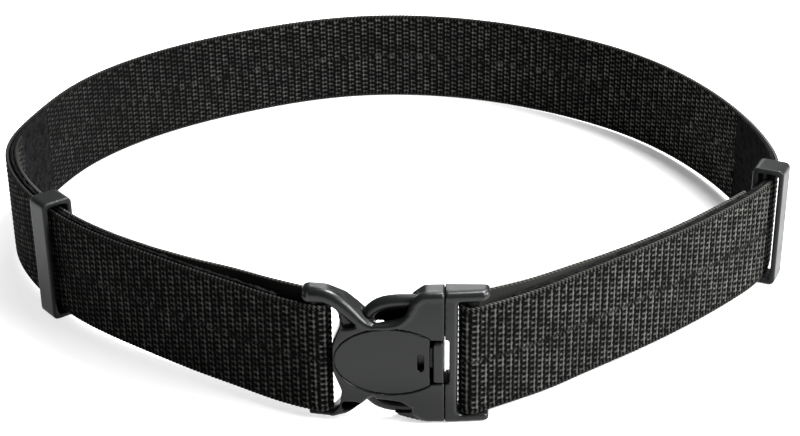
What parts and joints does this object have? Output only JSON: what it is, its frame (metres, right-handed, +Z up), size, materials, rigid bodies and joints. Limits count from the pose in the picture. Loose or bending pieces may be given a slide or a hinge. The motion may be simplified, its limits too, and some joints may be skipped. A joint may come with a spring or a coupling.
{
  "type": "duty belt",
  "caption": "Nylon web duty belt, closed, with a moulded side-release buckle that has a press button, folded-back tails on pile panels and a slide near each end of the front.",
  "frame": {"origin": "on the floor plane, under the middle of the belt's box", "axes": "+Z up, across the belt's width; +X from the female half of the buckle to the male half, as seen from in front; +Y from the buckle to the back of the belt"},
  "size_m": [0.3763, 0.3626, 0.062],
  "materials": {
    "webbing": "black woven nylon webbing with a raised rib weave",
    "pile": "black brushed nylon loop pile",
    "moulded_plastic": "satin dark grey moulded acetal",
    "button_plastic": "satin dark grey moulded acetal"
  },
  "bodies": {
    "belt": {"web_strap": "webbing", "loop_panel_left": "pile", "loop_panel_right": "pile", "female_frame": "moulded_plastic", "male_frame": "moulded_plastic", "oval_cover": "moulded_plastic", "keeper_left": "moulded_plastic", "keeper_right": "moulded_plastic"},
    "button": {"release_button": "button_plastic"}
  },
  "joints": [
    {"name": "button_press", "type": "hinge", "parent": "belt", "child": "button", "pos_m": [0.00532, -0.175, 0.031], "axis": [0, 0, 1], "range_deg": [0, 7], "stiffness_Nm_per_rad": 0.5}
  ]
}
